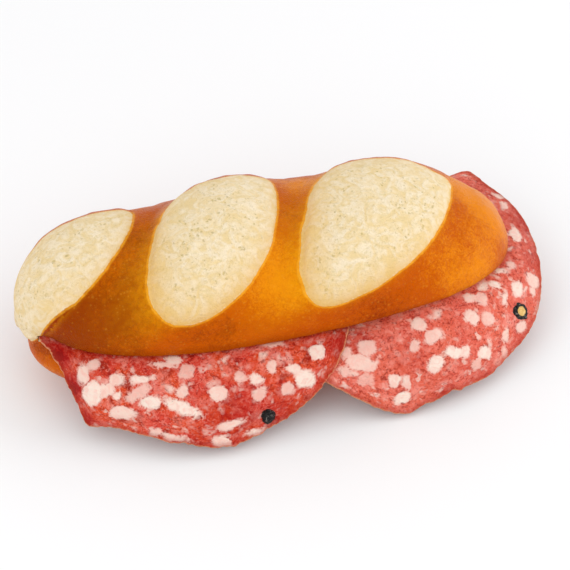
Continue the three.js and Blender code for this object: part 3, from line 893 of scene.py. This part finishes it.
def makeSlice(piece, material):
    bm = gridBlock(sliceForm["steps"])
    bm.verts.index_update()
    bm.verts.ensure_lookup_table()
    values = []
    flatSpots = []
    for vert in bm.verts:
        angle, far = toDisc(vert.co.x, vert.co.y)
        reach = reachAt(piece, angle)
        rim = (1 - far) * reach
        if rim < 0.01 and abs(vert.co.z) > 0.5:
            rim = 0.25
        x = piece["middle"][0] + (reach - rim) * math.cos(angle)
        y = piece["middle"][1] + (reach - rim) * math.sin(angle)
        fat, tone = fatAt(piece, x, y)
        bulge = sliceForm["fatBulge"] * smoothStep(-0.3, 0.5, fat)
        bulge += sliceForm["dimples"] * lumps(x, y, piece["seed"], 1.6)
        offset = sliceOffset(piece, x) + vert.co.z * (sliceForm["thickness"] / 2 + bulge)
        vert.co = (drape(x, y, offset) + rimShift(piece, angle, rim)) * mm
        pale = max(piece["pale"] + 0.2 * lumps(x, y, piece["seed"], 16.0), 0.0)
        crimson = crimsonAt(piece, x, y)
        values.append({"fat": fat, "tone": tone, "rim": rim, "pale": pale, "crimson": crimson})
        squeezed = reach - rim + sliceForm["rimSqueeze"] * (1 - smoothStep(0, sliceForm["rimBand"], rim))
        apart = 200 * piece["under"]  # each slice shows its own part of the pattern
        flatSpots.append((squeezed * math.cos(angle) * mm, (squeezed * math.sin(angle) + apart) * mm))
    paint(bm, values)
    flat = bm.loops.layers.uv.new("flat")
    for face in bm.faces:
        for loop in face.loops:
            loop[flat].uv = flatSpots[loop.vert.index]
    made = toObject(bm, piece["name"], material)
    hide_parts(piece["node"])
    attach(made, "root")
    print(piece["name"], "made,", len(made.data.polygons), "faces")


salami = makeSalami()
makeSlice(leftSlice, salami)
makeSlice(rightSlice, salami)


# Peppercorns: one black and wrinkled, one cut through with a cream middle.
pepperLook = {
    "black": (10, 9, 8), "ridgeGlint": (120, 112, 106), "core": (248, 220, 152), "coreShade": (222, 176, 96),
    "roughness": 0.5, "specular": 0.4, "crackSize": 0.9, "ragged": 0.26, "pitted": 0.28, "coreRise": 0.45,
    "coreRing": 0.4,
}


def makePepperSkin():
    material, tree = startMaterial("pepper")
    place = put(tree, "TexCoord").outputs["Object"]
    core = attribute(tree, "core")
    cracks = useGroup(tree, mottle, {
        "Vector": place, "Size": pepperLook["crackSize"], "Softness": 0.12, "Swirl": 1.0,
    })
    # Painted highlight: the raised ridges of the wrinkled skin are lighter grey, as if catching the light.
    ridges = ramp(tree, cracks["Raw"], 0.55, 0.68)
    skin = blend(tree, ridges, color(*pepperLook["black"]), color(*pepperLook["ridgeGlint"]))
    middle = blend(tree, cracks["Value"], color(*pepperLook["coreShade"]), color(*pepperLook["core"]))
    middle = blend(tree, ramp(tree, core, 0.05, 0.6), color(*pepperLook["coreShade"]), middle)
    surface = blend(tree, ramp(tree, core, -0.06, 0.06), skin, middle)
    bump = put(tree, "Bump", {"Strength": 1.0, "Distance": 0.5 * mm, "Height": cracks["Raw"]}).outputs[0]
    finishMaterial(tree, {
        "Specular IOR Level": pepperLook["specular"], "Roughness": pepperLook["roughness"],
    }, {"Base Color": surface, "Normal": bump})
    return material


def makePepper(piece, material):
    pepper = piece["pepper"]
    bm = bmesh.new()
    bmesh.ops.create_icosphere(bm, subdivisions=5, radius=1)
    bm.verts.index_update()
    bm.verts.ensure_lookup_table()
    values = []
    for vert in bm.verts:
        x, y, z = vert.co
        flatness = math.hypot(x, y)
        ragged = 1 + pepperLook["ragged"] * lumps(x, y, z + piece["seed"], 0.4) * (0.4 + 0.6 * flatness)
        core = pepper["core"] - flatness if z > 0 else -1.0
        top = pepperLook["coreRise"] * smoothStep(-0.1, 0.2, core)
        if pepper["core"] > 0:
            top -= pepperLook["coreRing"] * smoothStep(0.25, 0.0, abs(flatness - pepper["core"]))
        lift = z * (sliceForm["thickness"] / 2 + pepper["rise"] * (1 + 0.5 * top)) * (1 if z > 0 else 0.4)
        lift += pepperLook["pitted"] * lumps(x, y, z, 0.3) * (z > 0)
        vert.co = drape(
            pepper["at"][0] + x * ragged * pepper["radius"] * pepper["stretch"],
            pepper["at"][1] + y * ragged * pepper["radius"],
            sliceOffset(piece, pepper["at"][0]) + lift,
        ) * mm
        values.append({"core": core * 2})
    paint(bm, values)
    made = toObject(bm, pepper["name"], material)
    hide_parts(piece["node"])
    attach(made, "root")


pepperSkin = makePepperSkin()
makePepper(leftSlice, pepperSkin)
makePepper(rightSlice, pepperSkin)
print("peppercorns made")


# Stage: a white floor in even white light, with soft lamps low on the right and left.
# Mirror reflections see less of the sky than the floor does, like a room behind a light tent.
stage = {
    "floor": (243, 243, 244), "floorSize": 3.0, "sky": 0.96, "mirrored": 0.22,
    "lamps": [
        {"name": "rightLamp", "place": (0.95, -0.2, 0.35), "size": 0.8, "power": 3.2},
        {"name": "leftLamp", "place": (-0.6, -0.6, 0.6), "size": 0.8, "power": 1.9},
    ],
}


def makeStage():
    material, tree = startMaterial("floorPaint")
    finishMaterial(tree, {
        "Base Color": color(*stage["floor"]), "Roughness": 0.9, "Specular IOR Level": 0.1,
    }, {})
    bm = bmesh.new()
    bmesh.ops.create_grid(bm, x_segments=1, y_segments=1, size=stage["floorSize"] / 2)
    floor = toObject(bm, "floor", material)
    floor.location.z = -0.0003
    world = bpy.data.worlds.new("sky")
    world.use_nodes = True
    background = world.node_tree.nodes["Background"]
    background.inputs[0].default_value = (1, 1, 1, 1)
    glossy = put(world.node_tree, "LightPath").outputs["Is Glossy Ray"]
    strength = ramp(world.node_tree, glossy, 0.0, 1.0, stage["sky"], stage["sky"] * stage["mirrored"])
    world.node_tree.links.new(strength, background.inputs[1])
    bpy.context.scene.world = world
    for lamp in stage["lamps"]:
        data = bpy.data.lights.new(lamp["name"], "AREA")
        data.shape = "DISK"
        data.size = lamp["size"]
        data.energy = lamp["power"]
        made = bpy.data.objects.new(lamp["name"], data)
        made.location = lamp["place"]
        made.rotation_euler = Vector(lamp["place"]).to_track_quat("Z", "Y").to_euler()
        bpy.context.collection.objects.link(made)
    bpy.context.scene.view_settings.view_transform = "Standard"


makeStage()
print("stage made")

bpy.context.view_layer.update()
